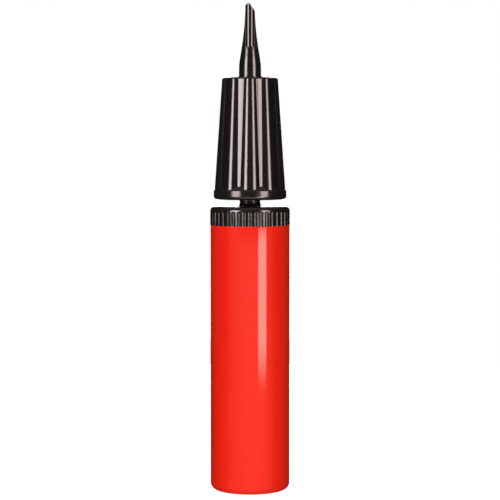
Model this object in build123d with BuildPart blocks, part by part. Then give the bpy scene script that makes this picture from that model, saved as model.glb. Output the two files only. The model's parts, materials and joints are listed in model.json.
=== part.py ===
from build123d import *
import os

# A hand-held balloon pump that delivers air on both strokes. Millimetres, +Z up the pump's axis,
# z = 0 on the plane that the barrel stands on, front towards -Y. The handle is down, on its stop.

# Barrel
BARREL_R = 23.65
BORE_R = 21.5
BARREL_TOP = 158.4
BASE_ROUND = 3.8
BORE_ROUND = 2.0
LIP_ROUND = 0.3
RECESS_R = 17.5
RECESS_DEPTH = 2.5
RECESS_ROUND = 0.8
FLOOR_TOP = 4.7

# Collar, which screws into the barrel's mouth
COLLAR_R = 23.75
COLLAR_TOP = 169.7
COLLAR_PLATE = 2.0
SHOULDER_ROUND = 2.8
SPIGOT_R = 21.45
SPIGOT_INNER_R = 18.4
SPIGOT_BOTTOM = 147.5
SPIGOT_ROUND = 0.8
BOSS_TOP = 172.2
BOSS_R = 6.1
BOSS_FOOT_R = 9.2
BOSS_FOOT_RISE = 0.45
BEAD_R = 6.35
BEAD_HEIGHT = 0.5
BEAD_ROUND = 0.24
PLATE_FLAT_R = 15.5
HUB_R = 8.5
SNAP_BEAD = 0.4
SNAP_BEAD_RISE = 0.6
FLUTES = 44
FLUTE_TOP = 167.2
FLUTE_WIDTH = 2.7
FLUTE_DEPTH = 0.55
O_RING_SECTION_R = 0.9
O_RING_Z = 150.8
O_RING_PLAY = 0.2

# Thread between barrel and collar, drawn as closed rings: flat crests with sloping flanks
THREAD_R = 21.9
THREAD_PITCH = 2.4
THREAD_FOOT_Z = 153.6
THREAD_HEIGHTS = (THREAD_FOOT_Z, THREAD_FOOT_Z + THREAD_PITCH)
THREAD_CREST_HALF = 0.25
THREAD_ROOT_HALF = 0.85
THREAD_PLAY = 0.05

# Rod and its seal
ROD_R = 5.0
ROD_BORE_R = 3.25
ROD_BOTTOM = 18.0
SNUG_GAP = 0.02
RUNNING_GAP = 0.07
PUSH_GAP = 0.05
LOOSE_GAP = 0.3
SEAL_SECTION_R = 1.2
SEAL_Z = 167.2
SEAL_POCKET_R = 7.5
SEAL_POCKET_TOP = 168.5
SEAL_PLAY = 0.1

# Inlet valves: a loose rubber disc over a ring of holes at each end of the barrel
DISC_THICK = 1.0
DISC_LIFT = 1.2
DISC_ROUND = 0.3
UPPER_HOLES = 10
UPPER_HOLE_R = 1.2
UPPER_HOLE_CIRCLE_R = 13.0
UPPER_DISC_R = 17.2
CAGE_THICK = 1.5
CAGE_SLOT_CIRCLE_R = 15.2
CAGE_SLOT_ANGLE = 18
CAGE_SLOT_WIDTH = 3.4
LOWER_HOLES = 6
LOWER_HOLE_R = 1.3
LOWER_HOLE_CIRCLE_R = 6.0
LOWER_DISC_R = 9.0
STUD_R = 2.1
STUD_HEAD_R = 5.5
STUD_HEAD_THICK = 1.4
STUD_HEAD_ROUND = 0.8
STUD_FOOT = 0.9
STUD_BARB = 0.5
STUD_BARB_RISE = 0.3
STUD_POINT = 0.4

# Piston: two flanges with a loose ring between them
PISTON_BOTTOM = 10.0
FLANGE_R = 21.2
FLANGE_THICK = 2.2
GROOVE_R = 17.6
RING_SECTION_R = 1.6
RING_OUTER_R = 21.43
RING_TRAVEL = 1.5
PISTON_HUB_R = 7.6
PISTON_HUB_TOP = 27.0
PISTON_HUB_ROUND = 0.8
PISTON_FOOT_ROUND = 1.5
PISTON_RIM_ROUND = 0.6
PISTON_RIBS = 8
PISTON_RIB_THICK = 1.8
RIB_INNER_R = 4.45
NOTCHES = 12
NOTCH_DEPTH = 0.8
NOTCH_WIDTH = 3.0
CAP_CONE_R = 3.0
CAP_CONE_RISE = 1.6

# Stop bumper
BUMPER_R = 6.2
BUMPER_ROUND = 0.4

# Handle
HANDLE_BOTTOM = 173.6
HANDLE_TOP = 245.6
RING_R = 21.7
RING_TOP = 178.9
RING_ROUND = 2.0
LOBES = 9
FOOT_CREST_R = 21.25
FOOT_LOBE_R = 7.0
FOOT_CORE_R = 19.2
TOP_CREST_R = 16.7
TOP_LOBE_R = 4.05
TOP_CORE_R = 15.2
TOP_ROUND = 1.2
VALLEY_ROUND = 0.9
HANDLE_WALL = 2.0
RING_WALL = 2.3
HANDLE_ROOF = 2.5
SOCKET_R = 7.4
WEB_THICK = 1.4
VALLEY_RUNOUT = 0.4

# Nozzle
NOZZLE_TIP = 290.0
NOZZLE_FLANGE_R = 7.4
NOZZLE_FLANGE_THICK = 1.0
FLANGE_ROUND = 0.4
NOZZLE_LAND_R = 6.6
NOZZLE_LAND_TOP = 250.6
NOZZLE_TAPER = ((5.6, 259.6), (4.27, 268.5), (3.3, 277.5), (2.85, 285.5))
TIP_R = 2.75
NOZZLE_NECK_R = 3.9
TAIL_R = 3.2
TAIL_BOTTOM = 232.0
TAIL_ROUND = 0.5
TAIL_GROOVE_Z = 237.0
TAIL_GROOVE_PLAY = 0.1
TAIL_SEAL_SECTION_R = 0.5
NOZZLE_BORE_R = 1.6
FIN_FOOT = 263.8
FIN_THICK = 1.6
CORE_R = 2.85
TIP_PEAK_X = -0.65
TIP_SLOPE = 54
TIP_BACK_SLOPE = 34
TIP_CUT_LENGTH = 12.0

# How far a cutting or joining shape runs past the face that it meets
OVERRUN = 0.5

FROM_BELOW = (Align.CENTER, Align.CENTER, Align.MIN)


def nearest(sketch, *points):
    """The vertices of a profile that lie at the given (radius, height) points."""
    return [sketch.vertices().sort_by_distance((radius, height, 0))[0] for radius, height in points]


def outer_rims(disc):
    """The upper and lower edges of a disc's outer wall."""
    return disc.edges().filter_by(GeomType.CIRCLE).group_by(SortBy.RADIUS)[-1]


def export(builder, name):
    """Labels a finished piece and writes it as one STEP file."""
    builder.part.label = name
    export_step(builder.part, f"parts/{name}.step")


os.makedirs("parts", exist_ok=True)

# Barrel: a tube with a floor a little above its standing rim. Grooves inside the mouth take the
# collar's thread, and a ring of inlet holes in the floor lies under the lower valve disc.
with BuildPart() as barrel:
    with BuildSketch(Plane.XZ) as barrel_profile:
        with BuildLine():
            Polyline(
                (0, RECESS_DEPTH),
                (RECESS_R, RECESS_DEPTH),
                (RECESS_R, 0),
                (BARREL_R, 0),
                (BARREL_R, BARREL_TOP),
                (BORE_R, BARREL_TOP),
                (BORE_R, FLOOR_TOP),
                (0, FLOOR_TOP),
                close=True,
            )
        make_face()
        fillet(nearest(barrel_profile, (BARREL_R, 0)), BASE_ROUND)
        fillet(nearest(barrel_profile, (BORE_R, FLOOR_TOP)), BORE_ROUND)
        fillet(nearest(barrel_profile, (RECESS_R, 0), (RECESS_R, RECESS_DEPTH)), RECESS_ROUND)
        fillet(nearest(barrel_profile, (BARREL_R, BARREL_TOP)), LIP_ROUND)
    revolve(axis=Axis.Z)
    with BuildSketch(Plane.XZ) as groove_profile:
        for height in THREAD_HEIGHTS:
            with BuildLine():
                Polyline(
                    (BORE_R - OVERRUN / 2, height - THREAD_ROOT_HALF - THREAD_PLAY),
                    (THREAD_R + THREAD_PLAY, height - THREAD_CREST_HALF - THREAD_PLAY),
                    (THREAD_R + THREAD_PLAY, height + THREAD_CREST_HALF + THREAD_PLAY),
                    (BORE_R - OVERRUN / 2, height + THREAD_ROOT_HALF + THREAD_PLAY),
                    close=True,
                )
            make_face()
    revolve(axis=Axis.Z, mode=Mode.SUBTRACT)
    with Locations((0, 0, FLOOR_TOP)):
        Hole(STUD_R + PUSH_GAP, depth=FLOOR_TOP)
        with PolarLocations(LOWER_HOLE_CIRCLE_R, LOWER_HOLES):
            Hole(LOWER_HOLE_R, depth=FLOOR_TOP)
export(barrel, "barrel")

# Collar: fluted rim, top plate with the upper inlet holes, guide boss for the rod, and a spigot
# that screws into the barrel.
PLATE_UNDER = COLLAR_TOP - COLLAR_PLATE
CAGE_TOP = PLATE_UNDER - DISC_THICK - DISC_LIFT
CAGE_BOTTOM = CAGE_TOP - CAGE_THICK
O_RING_GROOVE_R = BORE_R - 2 * O_RING_SECTION_R
O_RING_GROOVE_TOP = O_RING_Z + O_RING_SECTION_R + O_RING_PLAY
O_RING_GROOVE_BOTTOM = O_RING_Z - O_RING_SECTION_R - O_RING_PLAY
with BuildPart() as collar:
    with BuildSketch(Plane.XZ) as collar_profile:
        with BuildLine():
            boss_side = Polyline(
                (ROD_R + RUNNING_GAP, BOSS_TOP),
                (BEAD_R, BOSS_TOP),
                (BEAD_R, BOSS_TOP - BEAD_HEIGHT),
                (BOSS_R, BOSS_TOP - BEAD_HEIGHT),
            )
            flare = Spline(
                boss_side @ 1,
                (BOSS_FOOT_R, COLLAR_TOP + BOSS_FOOT_RISE),
                tangents=((0, -1), (PLATE_FLAT_R - BOSS_FOOT_R, -BOSS_FOOT_RISE)),
            )
            Polyline(
                flare @ 1,
                (PLATE_FLAT_R, COLLAR_TOP),
                (COLLAR_R, COLLAR_TOP),
                (COLLAR_R, BARREL_TOP),
                (SPIGOT_R, BARREL_TOP),
                (SPIGOT_R, O_RING_GROOVE_TOP),
                (O_RING_GROOVE_R, O_RING_GROOVE_TOP),
                (O_RING_GROOVE_R, O_RING_GROOVE_BOTTOM),
                (SPIGOT_R, O_RING_GROOVE_BOTTOM),
                (SPIGOT_R, SPIGOT_BOTTOM),
                (SPIGOT_INNER_R, SPIGOT_BOTTOM),
                (SPIGOT_INNER_R, CAGE_BOTTOM - 2 * SNAP_BEAD_RISE),
                (SPIGOT_INNER_R - SNAP_BEAD, CAGE_BOTTOM - SNAP_BEAD_RISE),
                (SPIGOT_INNER_R, CAGE_BOTTOM),
                (SPIGOT_INNER_R, PLATE_UNDER),
                (HUB_R, PLATE_UNDER),
                (HUB_R, CAGE_TOP),
                (SEAL_POCKET_R, CAGE_TOP),
                (SEAL_POCKET_R, SEAL_POCKET_TOP),
                (ROD_R + RUNNING_GAP, SEAL_POCKET_TOP),
                boss_side @ 0,
            )
        make_face()
        fillet(nearest(collar_profile, (COLLAR_R, COLLAR_TOP)), SHOULDER_ROUND)
        bead_corners = nearest(collar_profile, (BEAD_R, BOSS_TOP), (BEAD_R, BOSS_TOP - BEAD_HEIGHT))
        fillet(bead_corners, BEAD_ROUND)
        fillet(nearest(collar_profile, (SPIGOT_R, SPIGOT_BOTTOM)), SPIGOT_ROUND)
        fillet(nearest(collar_profile, (COLLAR_R, BARREL_TOP)), LIP_ROUND)
    revolve(axis=Axis.Z)
    with BuildSketch(Plane.XZ) as thread_profile:
        for height in THREAD_HEIGHTS:
            with BuildLine():
                Polyline(
                    (SPIGOT_R - OVERRUN / 2, height - THREAD_ROOT_HALF),
                    (THREAD_R, height - THREAD_CREST_HALF),
                    (THREAD_R, height + THREAD_CREST_HALF),
                    (SPIGOT_R - OVERRUN / 2, height + THREAD_ROOT_HALF),
                    close=True,
                )
            make_face()
    revolve(axis=Axis.Z)
    with Locations((0, 0, COLLAR_TOP + BOSS_FOOT_RISE)):
        with PolarLocations(UPPER_HOLE_CIRCLE_R, UPPER_HOLES):
            Hole(UPPER_HOLE_R, depth=COLLAR_PLATE + BOSS_FOOT_RISE)
    flute_r = (FLUTE_WIDTH**2 / 4 + FLUTE_DEPTH**2) / (2 * FLUTE_DEPTH)
    flute_end = FLUTE_TOP - FLUTE_WIDTH / 2
    with PolarLocations(COLLAR_R + flute_r - FLUTE_DEPTH, FLUTES, start_angle=-90):
        with Locations((0, 0, BARREL_TOP - OVERRUN)):
            Cylinder(
                flute_r,
                flute_end - BARREL_TOP + OVERRUN,
                align=FROM_BELOW,
                mode=Mode.SUBTRACT,
            )
        with Locations((0, 0, flute_end)):
            Sphere(flute_r, mode=Mode.SUBTRACT)
export(collar, "collar")

# Collar O-ring, in the spigot's groove
with BuildPart() as collar_o_ring:
    with Locations((0, 0, O_RING_Z)):
        Torus(BORE_R - O_RING_SECTION_R, O_RING_SECTION_R)
export(collar_o_ring, "collar_o_ring")

# Rod seal, in the pocket under the collar's boss
with BuildPart() as rod_seal:
    with Locations((0, 0, SEAL_Z)):
        Torus(ROD_R + RUNNING_GAP + SEAL_SECTION_R, SEAL_SECTION_R)
export(rod_seal, "rod_seal")

# Valve cage: a slotted plate snapped into the spigot. Its sleeve keeps the rod seal in its pocket
# and its face carries the upper inlet disc.
CAGE_SLEEVE_TOP = SEAL_Z - SEAL_SECTION_R - SEAL_PLAY
with BuildPart() as valve_cage:
    with BuildSketch(Plane.XZ):
        with BuildLine():
            Polyline(
                (ROD_R + LOOSE_GAP, CAGE_BOTTOM),
                (SPIGOT_INNER_R - PUSH_GAP, CAGE_BOTTOM),
                (SPIGOT_INNER_R - PUSH_GAP, CAGE_TOP),
                (SEAL_POCKET_R - PUSH_GAP, CAGE_TOP),
                (SEAL_POCKET_R - PUSH_GAP, CAGE_SLEEVE_TOP),
                (ROD_R + LOOSE_GAP, CAGE_SLEEVE_TOP),
                close=True,
            )
        make_face()
    revolve(axis=Axis.Z)
    with BuildSketch(Plane.XY.offset(CAGE_BOTTOM)):
        with PolarLocations(0, UPPER_HOLES):
            slot_line = CenterArc(
                (0, 0), CAGE_SLOT_CIRCLE_R, -CAGE_SLOT_ANGLE / 2, CAGE_SLOT_ANGLE, mode=Mode.PRIVATE
            )
            SlotArc(slot_line, CAGE_SLOT_WIDTH)
    extrude(amount=CAGE_THICK, mode=Mode.SUBTRACT)
export(valve_cage, "valve_cage")

# Upper inlet disc, resting on the cage
with BuildPart() as upper_inlet_disc:
    with Locations((0, 0, CAGE_TOP)):
        Cylinder(UPPER_DISC_R, DISC_THICK, align=FROM_BELOW)
        Cylinder(HUB_R + LOOSE_GAP, DISC_THICK, align=FROM_BELOW, mode=Mode.SUBTRACT)
    fillet(outer_rims(upper_inlet_disc), DISC_ROUND)
export(upper_inlet_disc, "upper_inlet_disc")

# Lower inlet disc, resting on the barrel's floor
with BuildPart() as lower_inlet_disc:
    with Locations((0, 0, FLOOR_TOP)):
        Cylinder(LOWER_DISC_R, DISC_THICK, align=FROM_BELOW)
        Cylinder(STUD_R + LOOSE_GAP, DISC_THICK, align=FROM_BELOW, mode=Mode.SUBTRACT)
    fillet(outer_rims(lower_inlet_disc), DISC_ROUND)
export(lower_inlet_disc, "lower_inlet_disc")

# Stud through the floor, with a head above the lower disc and a barb in the recess below
STUD_HEAD_UNDER = FLOOR_TOP + DISC_THICK + DISC_LIFT
STUD_HEAD_TOP = STUD_HEAD_UNDER + STUD_HEAD_THICK
with BuildPart() as lower_valve_stud:
    with BuildSketch(Plane.XZ) as stud_profile:
        with BuildLine():
            Polyline(
                (0, STUD_FOOT),
                (STUD_R - STUD_POINT, STUD_FOOT),
                (STUD_R + STUD_BARB, RECESS_DEPTH - STUD_BARB_RISE),
                (STUD_R + STUD_BARB, RECESS_DEPTH),
                (STUD_R, RECESS_DEPTH),
                (STUD_R, STUD_HEAD_UNDER),
                (STUD_HEAD_R, STUD_HEAD_UNDER),
                (STUD_HEAD_R, STUD_HEAD_TOP),
                (0, STUD_HEAD_TOP),
                close=True,
            )
        make_face()
        fillet(nearest(stud_profile, (STUD_HEAD_R, STUD_HEAD_TOP)), STUD_HEAD_ROUND)
    revolve(axis=Axis.Z)
export(lower_valve_stud, "lower_valve_stud")

# Piston body: hub that holds the rod's end, upper flange, and ribs that leave air channels between
# the groove and the rod's bore.
CAP_TOP = PISTON_BOTTOM + FLANGE_THICK
UPPER_FLANGE_UNDER = CAP_TOP + 2 * RING_SECTION_R + RING_TRAVEL
UPPER_FLANGE_TOP = UPPER_FLANGE_UNDER + FLANGE_THICK
with BuildPart() as piston_body:
    with BuildSketch(Plane.XZ) as piston_profile:
        with BuildLine():
            Polyline(
                (ROD_BORE_R, UPPER_FLANGE_UNDER),
                (FLANGE_R, UPPER_FLANGE_UNDER),
                (FLANGE_R, UPPER_FLANGE_TOP),
                (PISTON_HUB_R, UPPER_FLANGE_TOP),
                (PISTON_HUB_R, PISTON_HUB_TOP),
                (ROD_R, PISTON_HUB_TOP),
                (ROD_R, ROD_BOTTOM),
                (ROD_BORE_R, ROD_BOTTOM),
                close=True,
            )
        make_face()
        fillet(nearest(piston_profile, (PISTON_HUB_R, PISTON_HUB_TOP)), PISTON_HUB_ROUND)
        fillet(nearest(piston_profile, (PISTON_HUB_R, UPPER_FLANGE_TOP)), PISTON_FOOT_ROUND)
    revolve(axis=Axis.Z)
    with BuildSketch(Plane.XY.offset(CAP_TOP)):
        with PolarLocations((RIB_INNER_R + GROOVE_R) / 2, PISTON_RIBS):
            Rectangle(GROOVE_R - RIB_INNER_R, PISTON_RIB_THICK)
    extrude(amount=UPPER_FLANGE_UNDER - CAP_TOP)
    with BuildSketch(Plane.XY.offset(UPPER_FLANGE_UNDER)):
        with PolarLocations(FLANGE_R, NOTCHES):
            Rectangle(2 * NOTCH_DEPTH, NOTCH_WIDTH)
    extrude(amount=FLANGE_THICK, mode=Mode.SUBTRACT)
export(piston_body, "piston_body")

# Piston cap: the lower flange, with a low cone under the rod's bore
with BuildPart() as piston_cap:
    with BuildSketch(Plane.XZ) as cap_profile:
        with BuildLine():
            Polyline(
                (0, PISTON_BOTTOM),
                (FLANGE_R, PISTON_BOTTOM),
                (FLANGE_R, CAP_TOP),
                (CAP_CONE_R, CAP_TOP),
                (0, CAP_TOP + CAP_CONE_RISE),
                close=True,
            )
        make_face()
        fillet(nearest(cap_profile, (FLANGE_R, PISTON_BOTTOM)), PISTON_RIM_ROUND)
    revolve(axis=Axis.Z)
    with BuildSketch(Plane.XY.offset(PISTON_BOTTOM)):
        with PolarLocations(FLANGE_R, NOTCHES):
            Rectangle(2 * NOTCH_DEPTH, NOTCH_WIDTH)
    extrude(amount=FLANGE_THICK, mode=Mode.SUBTRACT)
export(piston_cap, "piston_cap")

# Piston ring, resting on the lower flange
with BuildPart() as piston_ring:
    with Locations((0, 0, CAP_TOP + RING_SECTION_R)):
        Torus(RING_OUTER_R - RING_SECTION_R, RING_SECTION_R)
export(piston_ring, "piston_ring")

# Rod: a tube from the piston to the underside of the handle's roof
ROOF_UNDER = HANDLE_TOP - HANDLE_ROOF
with BuildPart() as rod:
    with BuildSketch(Plane.XY.offset(ROD_BOTTOM)):
        Circle(ROD_R)
        Circle(ROD_BORE_R, mode=Mode.SUBTRACT)
    extrude(amount=ROOF_UNDER - ROD_BOTTOM)
export(rod, "rod")

# Stop bumper: a ring on the rod that meets the collar's boss when the pump is closed
with BuildPart() as stop_bumper:
    with BuildSketch(Plane.XZ) as bumper_profile:
        with BuildLine():
            Polyline(
                (ROD_R, BOSS_TOP),
                (BUMPER_R, BOSS_TOP),
                (BUMPER_R, HANDLE_BOTTOM),
                (ROD_R, HANDLE_BOTTOM),
                close=True,
            )
        make_face()
        bumper_corners = nearest(bumper_profile, (BUMPER_R, BOSS_TOP), (BUMPER_R, HANDLE_BOTTOM))
        fillet(bumper_corners, BUMPER_ROUND)
    revolve(axis=Axis.Z)
export(stop_bumper, "stop_bumper")

# Handle: lobed hollow grip that tapers upwards from a plain base ring. The valleys between the
# lobes run out through the top and end below on a cone just above the ring.
FOOT_Z = HANDLE_BOTTOM + RING_ROUND
FOOT_REACH = (RING_TOP - FOOT_Z) / (HANDLE_TOP - RING_TOP)
FOOT_CENTRE_R = FOOT_CREST_R - FOOT_LOBE_R
TOP_CENTRE_R = TOP_CREST_R - TOP_LOBE_R
SECTION_CENTRE_R = FOOT_CENTRE_R + FOOT_REACH * (FOOT_CENTRE_R - TOP_CENTRE_R)
with BuildSketch(Plane.XY.offset(FOOT_Z)) as foot_section:
    Circle(FOOT_CORE_R + FOOT_REACH * (FOOT_CORE_R - TOP_CORE_R))
    with PolarLocations(SECTION_CENTRE_R, LOBES, start_angle=-90):
        Circle(FOOT_LOBE_R + FOOT_REACH * (FOOT_LOBE_R - TOP_LOBE_R))
    fillet(foot_section.vertices(), VALLEY_ROUND)
with BuildSketch(Plane.XY.offset(HANDLE_TOP)) as top_section:
    Circle(TOP_CORE_R)
    with PolarLocations(TOP_CENTRE_R, LOBES, start_angle=-90):
        Circle(TOP_LOBE_R)
    fillet(top_section.vertices(), VALLEY_ROUND)
with BuildSketch(Plane.XY.offset(RING_TOP)) as cavity_foot:
    Circle(FOOT_CORE_R - HANDLE_WALL)
    with PolarLocations(FOOT_CENTRE_R, LOBES, start_angle=-90):
        Circle(FOOT_LOBE_R - HANDLE_WALL)
with BuildSketch(Plane.XY.offset(ROOF_UNDER)) as cavity_top:
    Circle(TOP_CORE_R - HANDLE_WALL)
    with PolarLocations(TOP_CENTRE_R, LOBES, start_angle=-90):
        Circle(TOP_LOBE_R - HANDLE_WALL)
CONE_RISE = RING_R - FOOT_CORE_R + VALLEY_RUNOUT
with BuildPart() as handle:
    loft(sections=[foot_section.sketch.face(), top_section.sketch.face()], ruled=True)
    fillet(handle.faces().sort_by(Axis.Z)[-1].edges(), TOP_ROUND)
    with BuildSketch(Plane.XZ) as ring_profile:
        with BuildLine():
            Polyline(
                (0, HANDLE_BOTTOM),
                (RING_R, HANDLE_BOTTOM),
                (RING_R, RING_TOP),
                (RING_R - CONE_RISE, RING_TOP + CONE_RISE),
                (0, RING_TOP + CONE_RISE),
                close=True,
            )
        make_face()
        fillet(nearest(ring_profile, (RING_R, HANDLE_BOTTOM)), RING_ROUND)
    revolve(axis=Axis.Z)
    with BuildSketch(Plane.XY.offset(HANDLE_BOTTOM)):
        Circle(RING_R - RING_WALL)
    extrude(amount=RING_TOP - HANDLE_BOTTOM, mode=Mode.SUBTRACT)
    loft(sections=[cavity_foot.sketch.face(), cavity_top.sketch.face()], ruled=True, mode=Mode.SUBTRACT)
    with BuildSketch(Plane.XY.offset(HANDLE_BOTTOM)):
        Circle(SOCKET_R)
    extrude(amount=HANDLE_TOP - HANDLE_ROOF / 2 - HANDLE_BOTTOM)
    for web in range(LOBES):
        valley_angle = -90 + (web + 0.5) * 360 / LOBES
        with BuildSketch(Plane.XZ.rotated((0, 0, valley_angle))):
            with BuildLine():
                Polyline(
                    (SOCKET_R - OVERRUN, RING_TOP),
                    (FOOT_CORE_R - HANDLE_WALL / 2, RING_TOP),
                    (TOP_CORE_R - HANDLE_WALL / 2, ROOF_UNDER + OVERRUN),
                    (SOCKET_R - OVERRUN, ROOF_UNDER + OVERRUN),
                    close=True,
                )
            make_face()
        extrude(amount=WEB_THICK / 2, both=True)
    with Locations((0, 0, HANDLE_BOTTOM)):
        Cylinder(ROD_R, ROOF_UNDER - HANDLE_BOTTOM, align=FROM_BELOW, mode=Mode.SUBTRACT)
        Cylinder(
            NOZZLE_NECK_R + SNUG_GAP,
            HANDLE_TOP - HANDLE_BOTTOM,
            align=FROM_BELOW,
            mode=Mode.SUBTRACT,
        )
export(handle, "handle")

# Nozzle: a flange that sits on the handle, a short cylindrical land, and a taper. Above a small
# shoulder the taper goes on only as two fins, at +X and -X of a round core. A tail below goes
# through the handle's roof into the rod.
NOZZLE_SHOULDER = HANDLE_TOP + NOZZLE_FLANGE_THICK
TAPER_END = NOZZLE_TIP + 2 * OVERRUN
TAIL_GROOVE_R = ROD_BORE_R - 2 * TAIL_SEAL_SECTION_R
TAIL_GROOVE_TOP = TAIL_GROOVE_Z + TAIL_SEAL_SECTION_R + TAIL_GROOVE_PLAY
TAIL_GROOVE_BOTTOM = TAIL_GROOVE_Z - TAIL_SEAL_SECTION_R - TAIL_GROOVE_PLAY
with BuildPart() as beside_fins:
    with BuildSketch(Plane.XY.offset(FIN_FOOT)):
        Circle(NOZZLE_LAND_R)
        Circle(CORE_R, mode=Mode.SUBTRACT)
        Rectangle(4 * NOZZLE_LAND_R, FIN_THICK, mode=Mode.SUBTRACT)
    extrude(amount=TAPER_END + OVERRUN - FIN_FOOT)
with BuildPart() as nozzle:
    with BuildSketch(Plane.XZ) as nozzle_profile:
        with BuildLine():
            land = Line((NOZZLE_LAND_R, NOZZLE_SHOULDER), (NOZZLE_LAND_R, NOZZLE_LAND_TOP))
            taper = Spline(
                land @ 1,
                *NOZZLE_TAPER,
                (TIP_R, TAPER_END),
                tangents=((0, 1), (0, 1)),
            )
            Polyline(
                taper @ 1,
                (NOZZLE_BORE_R, TAPER_END),
                (NOZZLE_BORE_R, TAIL_BOTTOM),
                (TAIL_R, TAIL_BOTTOM),
                (TAIL_R, TAIL_GROOVE_BOTTOM),
                (TAIL_GROOVE_R, TAIL_GROOVE_BOTTOM),
                (TAIL_GROOVE_R, TAIL_GROOVE_TOP),
                (TAIL_R, TAIL_GROOVE_TOP),
                (TAIL_R, ROOF_UNDER),
                (NOZZLE_NECK_R, ROOF_UNDER),
                (NOZZLE_NECK_R, HANDLE_TOP),
                (NOZZLE_FLANGE_R, HANDLE_TOP),
                (NOZZLE_FLANGE_R, NOZZLE_SHOULDER),
                land @ 0,
            )
        make_face()
        fillet(nearest(nozzle_profile, (NOZZLE_FLANGE_R, NOZZLE_SHOULDER)), FLANGE_ROUND)
        fillet(nearest(nozzle_profile, (TAIL_R, TAIL_BOTTOM)), TAIL_ROUND)
    revolve(axis=Axis.Z)
    add(beside_fins.part, mode=Mode.SUBTRACT)
    with BuildSketch(Plane.XZ):
        with BuildLine():
            peak = (TIP_PEAK_X, NOZZLE_TIP)
            long_cut = PolarLine(peak, TIP_CUT_LENGTH, -TIP_SLOPE)
            short_cut = PolarLine(peak, TIP_CUT_LENGTH, 180 + TIP_BACK_SLOPE)
            Polyline(
                long_cut @ 1,
                (TIP_CUT_LENGTH, TAPER_END + TIP_CUT_LENGTH),
                (-TIP_CUT_LENGTH, TAPER_END + TIP_CUT_LENGTH),
                short_cut @ 1,
            )
        make_face()
    extrude(amount=NOZZLE_LAND_R, both=True, mode=Mode.SUBTRACT)
export(nozzle, "nozzle")

# Nozzle O-ring, in the tail's groove inside the rod
with BuildPart() as nozzle_o_ring:
    with Locations((0, 0, TAIL_GROOVE_Z)):
        Torus(ROD_BORE_R - TAIL_SEAL_SECTION_R, TAIL_SEAL_SECTION_R)
export(nozzle_o_ring, "nozzle_o_ring")
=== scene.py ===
"""Materials, lights and camera for the balloon pump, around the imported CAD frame.

Lengths are in metres, or in millimetres where they are multiplied by MM, and angles are in degrees.
"""

import json
import math

import bmesh
import bpy
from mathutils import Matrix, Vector


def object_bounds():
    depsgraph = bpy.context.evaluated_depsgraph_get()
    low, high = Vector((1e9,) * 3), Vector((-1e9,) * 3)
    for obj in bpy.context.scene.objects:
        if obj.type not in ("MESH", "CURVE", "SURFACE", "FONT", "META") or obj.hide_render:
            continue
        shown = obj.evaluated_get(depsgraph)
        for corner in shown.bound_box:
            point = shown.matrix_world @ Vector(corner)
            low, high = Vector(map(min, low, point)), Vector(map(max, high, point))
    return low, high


MM = 0.001

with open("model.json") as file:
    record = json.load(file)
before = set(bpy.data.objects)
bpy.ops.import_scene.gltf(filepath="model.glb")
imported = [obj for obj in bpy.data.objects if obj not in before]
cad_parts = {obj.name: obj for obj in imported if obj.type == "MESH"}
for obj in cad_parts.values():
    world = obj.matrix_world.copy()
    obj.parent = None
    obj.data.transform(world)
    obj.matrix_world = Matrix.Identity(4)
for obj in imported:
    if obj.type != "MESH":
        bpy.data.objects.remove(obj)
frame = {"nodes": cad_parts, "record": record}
cad_low, cad_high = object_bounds()


# ---------------------------------------------------------------- node helpers
def grey(value):
    """An opaque grey."""
    return (value, value, value, 1)


def node(tree, kind, **values):
    """Adds a shader node, sets the named inputs and attributes, and returns it."""
    made = tree.nodes.new(kind)
    for key, value in values.items():
        if key in made.inputs:
            made.inputs[key].default_value = value
        else:
            setattr(made, key, value)
    return made


def map_range(tree, factor, from_range=(0, 1), to_range=(0, 1), **values):
    """Maps a factor from one range to another."""
    made = node(tree, "ShaderNodeMapRange", **values)
    made.inputs["From Min"].default_value, made.inputs["From Max"].default_value = from_range
    made.inputs["To Min"].default_value, made.inputs["To Max"].default_value = to_range
    tree.links.new(factor, made.inputs["Value"])
    return made


def spread(tree, factor, low, high):
    """Goes from low to high as a factor goes from 0 to 1."""
    return map_range(tree, factor, to_range=(low, high)).outputs["Result"]


def eased(tree, factor, start, end):
    """Rises smoothly from 0 to 1 as a factor goes from start to end."""
    made = map_range(tree, factor, from_range=(start, end), interpolation_type="SMOOTHSTEP")
    return made.outputs["Result"]


def chosen(tree, switch, when_off, when_on):
    """Gives one strength where a switch is 0 and another where it is 1.

    The first may be a node's output in place of a number, and so may the second.
    """
    made = map_range(tree, switch)
    for name, value in (("To Min", when_off), ("To Max", when_on)):
        if isinstance(value, (int, float)):
            made.inputs[name].default_value = value
        else:
            tree.links.new(value, made.inputs[name])
    return made.outputs["Result"]


def product(tree, *factors):
    """Multiplies any number of factors."""
    total = factors[0]
    for factor in factors[1:]:
        made = node(tree, "ShaderNodeMath", operation="MULTIPLY")
        tree.links.new(total, made.inputs[0])
        tree.links.new(factor, made.inputs[1])
        total = made.outputs["Value"]
    return total


def object_noise(tree, scale, detail, stretch=(1, 1, 1)):
    """Noise in the object's own metres. A stretch below 1 draws it out along that axis."""
    place = node(tree, "ShaderNodeTexCoord")
    mapping = node(tree, "ShaderNodeMapping", Scale=stretch)
    noise = node(tree, "ShaderNodeTexNoise", Scale=scale, Detail=detail)
    tree.links.new(place.outputs["Object"], mapping.inputs["Vector"])
    tree.links.new(mapping.outputs["Vector"], noise.inputs["Vector"])
    return noise.outputs["Fac"]


def ramp(tree, factor, low, high, start=0.3, end=0.7):
    """Goes from one colour to another as a factor goes from start to end."""
    made = node(tree, "ShaderNodeValToRGB")
    first, last = made.color_ramp.elements
    first.position, first.color = start, low
    last.position, last.color = end, high
    tree.links.new(factor, made.inputs["Fac"])
    return made.outputs["Color"]


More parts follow.
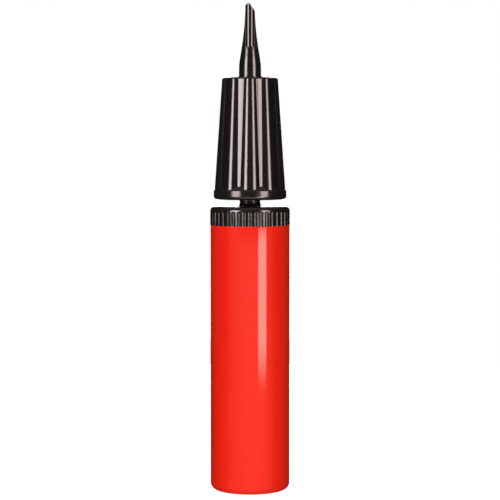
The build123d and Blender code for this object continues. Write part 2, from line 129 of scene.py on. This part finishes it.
def bump(tree, height, depth, strength, under=None):
    """A bump of the given depth, on top of another bump if one is given."""
    made = node(tree, "ShaderNodeBump", Strength=strength, Distance=depth)
    tree.links.new(height, made.inputs["Height"])
    if under is not None:
        tree.links.new(under, made.inputs["Normal"])
    return made.outputs["Normal"]


# ---------------------------------------------------------------- materials
RED = ((0.72, 0.0130, 0.0045, 1), (0.88, 0.0185, 0.0065, 1))
WARM_BLACK = ((0.0085, 0.0062, 0.0056, 1), (0.0125, 0.0092, 0.0084, 1))
ROD_GREY = (grey(0.018), grey(0.030))
MILKY_WHITE = ((0.70, 0.69, 0.64, 1), (0.80, 0.79, 0.75, 1))
RUBBER_BLACK = (grey(0.012), grey(0.024))


def new_material(name):
    """A fresh node material, its node tree and its Principled shader."""
    material = bpy.data.materials.new(name)
    material.use_nodes = True
    tree = material.node_tree
    return material, tree, tree.nodes["Principled BSDF"]


def connect(tree, shader, colour, roughness, normal, specular=0.5):
    """Feeds the shader's colour, roughness and normal, and sets how strongly it mirrors."""
    tree.links.new(colour, shader.inputs["Base Color"])
    tree.links.new(roughness, shader.inputs["Roughness"])
    tree.links.new(normal, shader.inputs["Normal"])
    shader.inputs["Specular IOR Level"].default_value = specular


def barrel_plastic():
    """Glossy red moulded plastic with faint upright flow marks and a trace of orange peel."""
    material, tree, shader = new_material("barrel_red_plastic")
    flow = object_noise(tree, scale=22, detail=3, stretch=(1, 1, 0.25))
    haze = object_noise(tree, scale=60, detail=6)
    peel = object_noise(tree, scale=900, detail=1)
    connect(
        tree,
        shader,
        colour=ramp(tree, flow, *RED),
        roughness=spread(tree, haze, low=0.05, high=0.10),
        normal=bump(tree, peel, depth=0.01 * MM, strength=0.25),
    )
    return material


def black_plastic():
    """Glossy black moulded plastic: a slight ripple along the draw and a fine grain."""
    material, tree, shader = new_material("black_moulded_plastic")
    tint = object_noise(tree, scale=45, detail=4)
    haze = object_noise(tree, scale=120, detail=5)
    ripple = object_noise(tree, scale=120, detail=2, stretch=(1, 1, 0.4))
    grain = object_noise(tree, scale=2600, detail=1)
    rippled = bump(tree, ripple, depth=0.08 * MM, strength=0.55)
    connect(
        tree,
        shader,
        colour=ramp(tree, tint, *WARM_BLACK),
        roughness=spread(tree, haze, low=0.09, high=0.20),
        normal=bump(tree, grain, depth=0.006 * MM, strength=0.2, under=rippled),
        specular=1.0,
    )
    return material


def rod_plastic():
    """Smooth dark tube plastic with faint lengthwise draw lines."""
    material, tree, shader = new_material("rod_dark_plastic")
    lines = object_noise(tree, scale=700, detail=2, stretch=(1, 1, 0.01))
    connect(
        tree,
        shader,
        colour=ramp(tree, lines, *ROD_GREY),
        roughness=spread(tree, lines, low=0.12, high=0.28),
        normal=bump(tree, lines, depth=0.01 * MM, strength=0.3),
        specular=0.7,
    )
    return material


def inner_plastic():
    """Natural, slightly milky moulded plastic of the valve and piston pieces."""
    material, tree, shader = new_material("natural_inner_plastic")
    cloud = object_noise(tree, scale=150, detail=4)
    grain = object_noise(tree, scale=3000, detail=1)
    connect(
        tree,
        shader,
        colour=ramp(tree, cloud, *MILKY_WHITE),
        roughness=spread(tree, cloud, low=0.35, high=0.55),
        normal=bump(tree, grain, depth=0.01 * MM, strength=0.3),
    )
    shader.inputs["Subsurface Weight"].default_value = 0.15
    shader.inputs["Subsurface Scale"].default_value = 2 * MM
    return material


def seal_rubber(name, smoothest, roughest):
    """Black rubber with a fine matt grain; the smoother it is, the more greased it looks."""
    material, tree, shader = new_material(name)
    cloud = object_noise(tree, scale=300, detail=4)
    grain = object_noise(tree, scale=4500, detail=2)
    connect(
        tree,
        shader,
        colour=ramp(tree, cloud, *RUBBER_BLACK),
        roughness=spread(tree, cloud, low=smoothest, high=roughest),
        normal=bump(tree, grain, depth=0.015 * MM, strength=0.4),
    )
    return material


MATERIALS = {
    "barrel": barrel_plastic(),
    "black_plastic": black_plastic(),
    "rod_plastic": rod_plastic(),
    "inner_plastic": inner_plastic(),
    "seal_rubber": seal_rubber("greased_seal_rubber", smoothest=0.30, roughest=0.50),
    "bumper_rubber": seal_rubber("bumper_rubber", smoothest=0.18, roughest=0.35),
}


def dress_cad_nodes():
    """Gives every CAD node the material of its slot."""
    for part in frame["record"]["subparts"]:
        mesh = frame["nodes"][part["node"]].data
        mesh.materials.clear()
        mesh.materials.append(MATERIALS[part["material_slot"]])


# ---------------------------------------------------------------- camera
CAMERA_DISTANCE = 1.0
CAMERA_HEIGHT = 0.2003
CAMERA_AIM = 0.1434
LENS_MM = 120.8
SENSOR_MM = 36


def look_at(thing, place, target):
    """Puts a camera or lamp into the scene at a place, facing a target."""
    thing.location = place
    thing.rotation_euler = (Vector(target) - Vector(place)).to_track_quat("-Z", "Y").to_euler()
    bpy.context.scene.collection.objects.link(thing)


def make_camera():
    """The photo's view: level with the handle and aimed at the pump's middle."""
    lens = bpy.data.cameras.new("camera")
    lens.lens = LENS_MM
    lens.sensor_width = SENSOR_MM
    camera = bpy.data.objects.new("camera", lens)
    look_at(camera, (0, -CAMERA_DISTANCE, CAMERA_HEIGHT), (0, 0, CAMERA_AIM))
    bpy.context.scene.camera = camera


# ---------------------------------------------------------------- room
BACKDROP = 1.0
AMBIENT = 0.50
GLOSS_LEVEL = 0.015
GLOSS_STEEP = 0.2
# Sines of the elevations between which gloss goes from the one to the other.
GLOSS_RISE = (0.5, 1.0)

FLOOR_RADIUS = 0.6
FLOOR_SEGMENTS = 96
FLOOR_GAP = 0.2 * MM
FLOOR_GREY = 0.9
FLOOR_GLOW = 0.75


def make_world():
    """White behind the object and softer on matt surfaces.

    In gloss it is dark near the horizon, so that the softboxes stand out, and brighter overhead
    and underfoot, where the ceiling and the table would be.
    """
    world = bpy.data.worlds.new("studio")
    bpy.context.scene.world = world
    world.use_nodes = True
    tree = world.node_tree
    shade = tree.nodes["Background"]
    shade.inputs["Color"].default_value = grey(1.0)
    way = node(tree, "ShaderNodeTexCoord")
    parts = node(tree, "ShaderNodeSeparateXYZ")
    tree.links.new(way.outputs["Generated"], parts.inputs["Vector"])
    steep = node(tree, "ShaderNodeMath", operation="ABSOLUTE")
    tree.links.new(parts.outputs["Z"], steep.inputs[0])
    rise = eased(tree, steep.outputs["Value"], *GLOSS_RISE)
    in_gloss = spread(tree, rise, GLOSS_LEVEL, GLOSS_STEEP)
    path = node(tree, "ShaderNodeLightPath")
    unseen = chosen(tree, path.outputs["Is Glossy Ray"], AMBIENT, in_gloss)
    strength = chosen(tree, path.outputs["Is Camera Ray"], unseen, BACKDROP)
    tree.links.new(strength, shade.inputs["Strength"])


def floor_paint():
    """Matt, slightly glowing white, so that the table top melts into the backdrop."""
    material, _, shader = new_material("floor")
    shader.inputs["Base Color"].default_value = grey(FLOOR_GREY)
    shader.inputs["Roughness"].default_value = 0.9
    shader.inputs["Specular IOR Level"].default_value = 0.0
    shader.inputs["Emission Color"].default_value = grey(1.0)
    shader.inputs["Emission Strength"].default_value = FLOOR_GLOW
    return material


def make_floor():
    """A round table top just under the barrel, hidden from gloss and from bounced light."""
    shape = bmesh.new()
    bmesh.ops.create_circle(shape, cap_ends=True, segments=FLOOR_SEGMENTS, radius=FLOOR_RADIUS)
    mesh = bpy.data.meshes.new("floor")
    shape.to_mesh(mesh)
    shape.free()
    mesh.materials.append(floor_paint())
    floor = bpy.data.objects.new("floor", mesh)
    floor.location.z = cad_low.z - FLOOR_GAP
    floor.visible_glossy = False
    floor.visible_diffuse = False
    bpy.context.scene.collection.objects.link(floor)


# ---------------------------------------------------------------- lights
WHITE = (1.0, 1.0, 1.0)
PINK = (1.0, 0.85, 0.85)
PEACH = (1.0, 0.80, 0.75)
WARM = (1.0, 0.97, 0.86)
AMBER = (1.0, 0.93, 0.72)
SOFT_EDGE = 0.01

# What the two strips beside the handle share, and what the two fills share.
HANDLE_STRIP = dict(distance=0.50, low=0.140, high=0.46, foot=0.09, sides=0.25)
FILL = dict(distance=0.90, low=0.0, high=0.50, width=1.00, fills=True, shows=False)


def soften(tree, foot, head, sides):
    """Multiplies a lamp's strength by a share that falls to nothing at its edges."""
    spot = node(tree, "ShaderNodeNewGeometry")
    parts = node(tree, "ShaderNodeSeparateXYZ")
    tree.links.new(spot.outputs["Parametric"], parts.inputs["Vector"])
    across = parts.outputs["X"]
    up = parts.outputs["Y"]
    share = product(
        tree,
        eased(tree, up, 0, foot),
        eased(tree, up, 1, 1 - head),
        eased(tree, across, 0, sides),
        eased(tree, across, 1, 1 - sides),
    )
    tree.links.new(share, tree.nodes["Emission"].inputs["Strength"])


def softbox(
    name,
    azimuth,
    distance,
    low,
    high,
    width,
    radiance,
    colour=WHITE,
    foot=SOFT_EDGE,
    head=SOFT_EDGE,
    sides=SOFT_EDGE,
    fills=False,
    shows=True,
):
    """An upright softbox. Azimuth is from the camera's side, positive to the right.

    Its radiance rises from nothing at the foot, head and sides to its full value over the given
    shares of its height and width. One that fills lights matt surfaces, and one that shows is
    seen in gloss.
    """
    height = high - low
    middle = (low + high) / 2
    lamp = bpy.data.lights.new(name, "AREA")
    lamp.shape = "RECTANGLE"
    lamp.size = width
    lamp.size_y = height
    lamp.energy = radiance * math.pi * width * height
    lamp.color = colour
    lamp.use_nodes = True
    soften(lamp.node_tree, foot, head, sides)
    box = bpy.data.objects.new(name, lamp)
    box.visible_diffuse = fills
    box.visible_glossy = shows
    box.visible_camera = False
    turn = math.radians(azimuth)
    place = (distance * math.sin(turn), -distance * math.cos(turn), middle)
    look_at(box, place, (0, 0, middle))


def make_lights():
    """Strips that draw the highlights in gloss, and fills that light the colours."""
    # The barrel's long highlight, which fades out towards the foot.
    softbox(
        "barrel_strip",
        azimuth=35,
        distance=0.50,
        low=-0.010,
        high=0.139,
        width=0.22,
        radiance=6.6,
        colour=WARM,
        foot=0.35,
        head=0.06,
        sides=0.03,
    )
    # A wide faint sheen over the barrel, which ends at the collar.
    softbox(
        "barrel_veil",
        azimuth=2,
        distance=0.40,
        low=-0.40,
        high=0.133,
        width=2.8,
        radiance=0.5,
        colour=AMBER,
        sides=0.5,
    )
    # The paired highlights on the handle's lobes, its ring and the nozzle.
    softbox("right_strip", azimuth=45, width=0.27, radiance=6.8, colour=PEACH, **HANDLE_STRIP)
    softbox("left_strip", azimuth=-44, width=0.29, radiance=8.2, colour=PINK, **HANDLE_STRIP)
    softbox("front_fill", azimuth=-6, radiance=5.0, **FILL)
    softbox("back_fill", azimuth=180, radiance=4.0, **FILL)
    # A highlight for the views from behind.
    softbox(
        "back_strip",
        azimuth=180,
        distance=0.60,
        low=0.02,
        high=0.45,
        width=0.24,
        radiance=5.0,
        sides=0.2,
    )


dress_cad_nodes()
make_camera()
make_world()
make_floor()
make_lights()
bpy.context.scene.view_settings.view_transform = "Standard"
